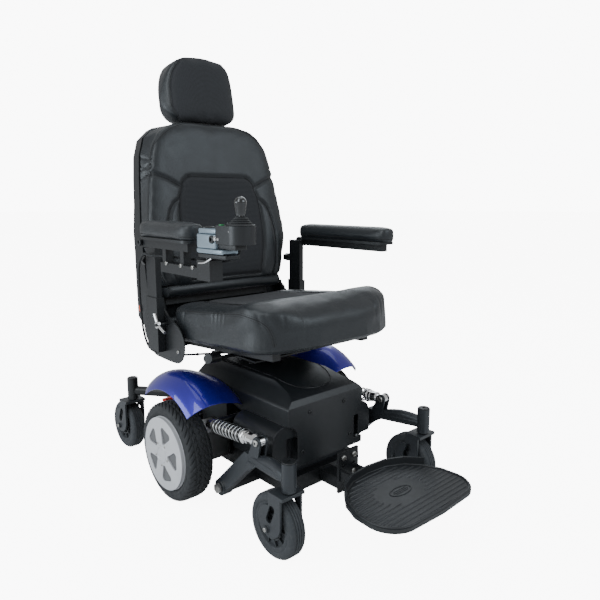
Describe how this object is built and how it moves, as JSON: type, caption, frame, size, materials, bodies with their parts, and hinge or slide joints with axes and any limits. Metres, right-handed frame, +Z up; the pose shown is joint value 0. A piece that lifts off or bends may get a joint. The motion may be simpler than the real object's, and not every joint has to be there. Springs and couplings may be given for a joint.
{
  "type": "power_wheelchair",
  "caption": "Mid-wheel drive power wheelchair with captain seat, sprung front casters, flip-up armrests, swing-away joystick, headrest and flip-up footplate.",
  "frame": {"origin": "On the floor, under the middle of the whole chair in width and length.", "axes": "+Z is up, -Y is forward, the way the user faces, and +X is to the user's left."},
  "size_m": [0.624, 1.0916, 1.1862],
  "materials": {
    "black_frame": "satin powder coat",
    "black_cover": "fine moulded grain",
    "metallic_blue": "metallic blue lacquer",
    "battery_case": "moulded",
    "grey_metal": "cast and machined",
    "zinc_steel": "zinc plated",
    "red_plastic": "moulded",
    "tyre_rubber": "dusty black",
    "caster_rubber": "solid tyre on a moulded hub",
    "wheel_rim": "cast",
    "silver_cap": "silver lacquer",
    "chrome": "polished",
    "black_vinyl": "grained vinyl with knit centre panels",
    "pad_vinyl": "soft grained skin",
    "lever_black": "moulded",
    "cast_bracket": "pale blue grey lacquer",
    "stick_black": "moulded",
    "soft_rubber": "soft black",
    "green_button": "moulded",
    "yellow_button": "moulded",
    "tread_plastic": "ribbed tread"
  },
  "bodies": {
    "base": {"chassis_frame": "black_frame", "base_shroud": "black_cover", "fender_right": "metallic_blue", "fender_left": "metallic_blue", "batteries": "battery_case", "gearmotor_right": "grey_metal", "gearmotor_left": "grey_metal", "power_module": "black_cover", "footplate_bracket": "black_frame", "pivot_bolts": "zinc_steel"},
    "drive_wheel_right": {"drive_tyre_right": "tyre_rubber", "drive_rim_right": "wheel_rim", "hubcap_right": "silver_cap"},
    "front_arm_right": {"front_arm_right": "black_frame"},
    "shock_rod_right": {"shock_rod_right": "zinc_steel", "shock_spring_right": "zinc_steel"},
    "shock_body_right": {"shock_body_right": "chrome"},
    "freewheel_lever_right": {"freewheel_lever_right": "red_plastic"},
    "fork_front_right": {"fork_front_right": "black_frame"},
    "caster_front_right": {"caster_front_right": "caster_rubber"},
    "fork_rear_right": {"fork_rear_right": "black_frame"},
    "caster_rear_right": {"caster_rear_right": "caster_rubber"},
    "drive_wheel_left": {"drive_tyre_left": "tyre_rubber", "drive_rim_left": "wheel_rim", "hubcap_left": "silver_cap"},
    "front_arm_left": {"front_arm_left": "black_frame"},
    "shock_rod_left": {"shock_rod_left": "zinc_steel", "shock_spring_left": "zinc_steel"},
    "shock_body_left": {"shock_body_left": "chrome"},
    "freewheel_lever_left": {"freewheel_lever_left": "red_plastic"},
    "fork_front_left": {"fork_front_left": "black_frame"},
    "caster_front_left": {"caster_front_left": "caster_rubber"},
    "fork_rear_left": {"fork_rear_left": "black_frame"},
    "caster_rear_left": {"caster_rear_left": "caster_rubber"},
    "seat": {"seat_frame": "black_frame", "seat_cushion": "black_vinyl", "joystick_cable": "soft_rubber"},
    "seat_lever": {"seat_lever": "lever_black"},
    "recline_lever": {"recline_lever": "chrome"},
    "back": {"back_frame": "grey_metal", "back_shell": "black_cover", "back_cushion": "black_vinyl"},
    "headrest": {"headrest_posts": "chrome", "headrest_cushion": "black_vinyl"},
    "arm_post_right": {"arm_post_right": "black_frame"},
    "armrest_right": {"arm_bar_right": "black_frame", "arm_pad_right": "pad_vinyl", "joystick_mount": "black_frame"},
    "arm_post_left": {"arm_post_left": "black_frame"},
    "armrest_left": {"arm_bar_left": "black_frame", "arm_pad_left": "pad_vinyl"},
    "joystick": {"swing_bracket": "cast_bracket", "joystick_housing": "black_cover", "joystick_boot": "soft_rubber"},
    "joystick_gimbal": {"joystick_gimbal": "grey_metal"},
    "joystick_stick": {"joystick_stick": "stick_black"},
    "power_button": {"power_button": "green_button"},
    "horn_button": {"horn_button": "yellow_button"},
    "speed_dial": {"speed_dial": "lever_black"},
    "footplate": {"footplate": "tread_plastic"}
  },
  "joints": [
    {"name": "drive_wheel_right_spin", "type": "hinge", "parent": "base", "child": "drive_wheel_right", "pos_m": [-0.267, 0.088, 0.13], "axis": [1, 0, 0], "continuous": true},
    {"name": "front_arm_right_pivot", "type": "hinge", "parent": "base", "child": "front_arm_right", "pos_m": [-0.216, -0.052, 0.064], "axis": [-1, 0, 0], "range_deg": [0, 8], "stiffness_Nm_per_rad": 300, "springref_deg": -11.46},
    {"name": "shock_right_tilt", "type": "hinge", "parent": "base", "child": "shock_rod_right", "pos_m": [-0.216, -0.002, 0.214], "axis": [-1, 0, 0], "range_deg": [0, 7.2]},
    {"name": "shock_right_stroke", "type": "slide", "parent": "shock_rod_right", "child": "shock_body_right", "axis": [0, 0.9961, -0.0888], "range_m": [0, 0.0225], "deforming": ["shock_spring_right"]},
    {"name": "fork_front_right_swivel", "type": "hinge", "parent": "front_arm_right", "child": "fork_front_right", "pos_m": [-0.235, -0.326, 0.195], "axis": [0, 0, 1], "continuous": true},
    {"name": "fork_rear_right_swivel", "type": "hinge", "parent": "base", "child": "fork_rear_right", "pos_m": [-0.22, 0.433, 0.195], "axis": [0, 0, 1], "continuous": true},
    {"name": "caster_front_right_spin", "type": "hinge", "parent": "fork_front_right", "child": "caster_front_right", "pos_m": [-0.235, -0.288, 0.075], "axis": [1, 0, 0], "continuous": true},
    {"name": "caster_rear_right_spin", "type": "hinge", "parent": "fork_rear_right", "child": "caster_rear_right", "pos_m": [-0.22, 0.471, 0.075], "axis": [1, 0, 0], "continuous": true},
    {"name": "freewheel_right_lever", "type": "hinge", "parent": "base", "child": "freewheel_lever_right", "pos_m": [-0.172, 0.251, 0.174], "axis": [1, 0, 0], "range_deg": [0, 30]},
    {"name": "drive_wheel_left_spin", "type": "hinge", "parent": "base", "child": "drive_wheel_left", "pos_m": [0.267, 0.088, 0.13], "axis": [1, 0, 0], "continuous": true},
    {"name": "front_arm_left_pivot", "type": "hinge", "parent": "base", "child": "front_arm_left", "pos_m": [0.216, -0.052, 0.064], "axis": [-1, 0, 0], "range_deg": [0, 8], "stiffness_Nm_per_rad": 300, "springref_deg": -11.46},
    {"name": "shock_left_tilt", "type": "hinge", "parent": "base", "child": "shock_rod_left", "pos_m": [0.216, -0.002, 0.214], "axis": [-1, 0, 0], "range_deg": [0, 7.2]},
    {"name": "shock_left_stroke", "type": "slide", "parent": "shock_rod_left", "child": "shock_body_left", "axis": [0, 0.9961, -0.0888], "range_m": [0, 0.0225], "deforming": ["shock_spring_left"]},
    {"name": "fork_front_left_swivel", "type": "hinge", "parent": "front_arm_left", "child": "fork_front_left", "pos_m": [0.235, -0.326, 0.195], "axis": [0, 0, 1], "continuous": true},
    {"name": "fork_rear_left_swivel", "type": "hinge", "parent": "base", "child": "fork_rear_left", "pos_m": [0.22, 0.433, 0.195], "axis": [0, 0, 1], "continuous": true},
    {"name": "caster_front_left_spin", "type": "hinge", "parent": "fork_front_left", "child": "caster_front_left", "pos_m": [0.235, -0.288, 0.075], "axis": [1, 0, 0], "continuous": true},
    {"name": "caster_rear_left_spin", "type": "hinge", "parent": "fork_rear_left", "child": "caster_rear_left", "pos_m": [0.22, 0.471, 0.075], "axis": [1, 0, 0], "continuous": true},
    {"name": "freewheel_left_lever", "type": "hinge", "parent": "base", "child": "freewheel_lever_left", "pos_m": [0.172, 0.251, 0.174], "axis": [1, 0, 0], "range_deg": [0, 30]},
    {"name": "seat_swivel", "type": "hinge", "parent": "base", "child": "seat", "pos_m": [0, 0.064, 0.35], "axis": [0, 0, 1], "range_deg": [-90, 90]},
    {"name": "seat_lever_pull", "type": "hinge", "parent": "seat", "child": "seat_lever", "pos_m": [-0.091, 0.038, 0.358], "axis": [0, 0, 1], "range_deg": [0, 12], "stiffness_Nm_per_rad": 2, "springref_deg": -2.86},
    {"name": "back_recline", "type": "hinge", "parent": "seat", "child": "back", "pos_m": [0, 0.198, 0.45], "axis": [1, 0, 0], "range_deg": [-20, 40]},
    {"name": "recline_lever_pull", "type": "hinge", "parent": "seat", "child": "recline_lever", "pos_m": [-0.2685, 0.16, 0.452], "axis": [-1, 0, 0], "range_deg": [0, 25], "stiffness_Nm_per_rad": 1, "springref_deg": -11.46},
    {"name": "headrest_height", "type": "slide", "parent": "back", "child": "headrest", "axis": [0, 0.1564, 0.9877], "range_m": [0, 0.06]},
    {"name": "armrest_right_height", "type": "slide", "parent": "seat", "child": "arm_post_right", "axis": [0, 0, 1], "range_m": [-0.024, 0.026], "deforming": ["joystick_cable"]},
    {"name": "armrest_right_flip", "type": "hinge", "parent": "arm_post_right", "child": "armrest_right", "pos_m": [-0.272, 0.201, 0.667], "axis": [-1, 0, 0], "range_deg": [0, 95]},
    {"name": "armrest_left_height", "type": "slide", "parent": "seat", "child": "arm_post_left", "axis": [0, 0, 1], "range_m": [0, 0.05]},
    {"name": "armrest_left_flip", "type": "hinge", "parent": "arm_post_left", "child": "armrest_left", "pos_m": [0.272, 0.201, 0.643], "axis": [-1, 0, 0], "range_deg": [0, 95]},
    {"name": "joystick_swing", "type": "hinge", "parent": "armrest_right", "child": "joystick", "pos_m": [-0.273, -0.102, 0.69], "axis": [0, 0, -1], "range_deg": [0, 90]},
    {"name": "joystick_fore_aft", "type": "hinge", "parent": "joystick", "child": "joystick_gimbal", "pos_m": [-0.268, -0.215, 0.711], "axis": [1, 0, 0], "range_deg": [-18, 18], "stiffness_Nm_per_rad": 0.8, "deforming": ["joystick_boot"]},
    {"name": "joystick_left_right", "type": "hinge", "parent": "joystick_gimbal", "child": "joystick_stick", "pos_m": [-0.268, -0.215, 0.711], "axis": [0, 1, 0], "range_deg": [-18, 18], "stiffness_Nm_per_rad": 0.8, "deforming": ["joystick_boot"]},
    {"name": "power_button_press", "type": "slide", "parent": "joystick", "child": "power_button", "axis": [0, 0, -1], "range_m": [0, 0.0015], "stiffness_N_per_m": 400, "springref_m": -0.001},
    {"name": "horn_button_press", "type": "slide", "parent": "joystick", "child": "horn_button", "axis": [0, 0, -1], "range_m": [0, 0.0015], "stiffness_N_per_m": 400, "springref_m": -0.001},
    {"name": "speed_dial_turn", "type": "hinge", "parent": "joystick", "child": "speed_dial", "pos_m": [-0.268, -0.175, 0.72], "axis": [0, 0, 1], "range_deg": [-135, 135]},
    {"name": "footplate_flip", "type": "hinge", "parent": "base", "child": "footplate", "pos_m": [0, -0.312, 0.116], "axis": [-1, 0, 0], "range_deg": [0, 90]}
  ],
  "couplings": [
    {"joint": "shock_right_tilt", "follows": "front_arm_right_pivot", "ratio": 0.8583},
    {"joint": "shock_right_stroke", "follows": "front_arm_right_pivot", "m_per_rad": 0.1556},
    {"joint": "shock_left_tilt", "follows": "front_arm_left_pivot", "ratio": 0.8583},
    {"joint": "shock_left_stroke", "follows": "front_arm_left_pivot", "m_per_rad": 0.1556}
  ]
}
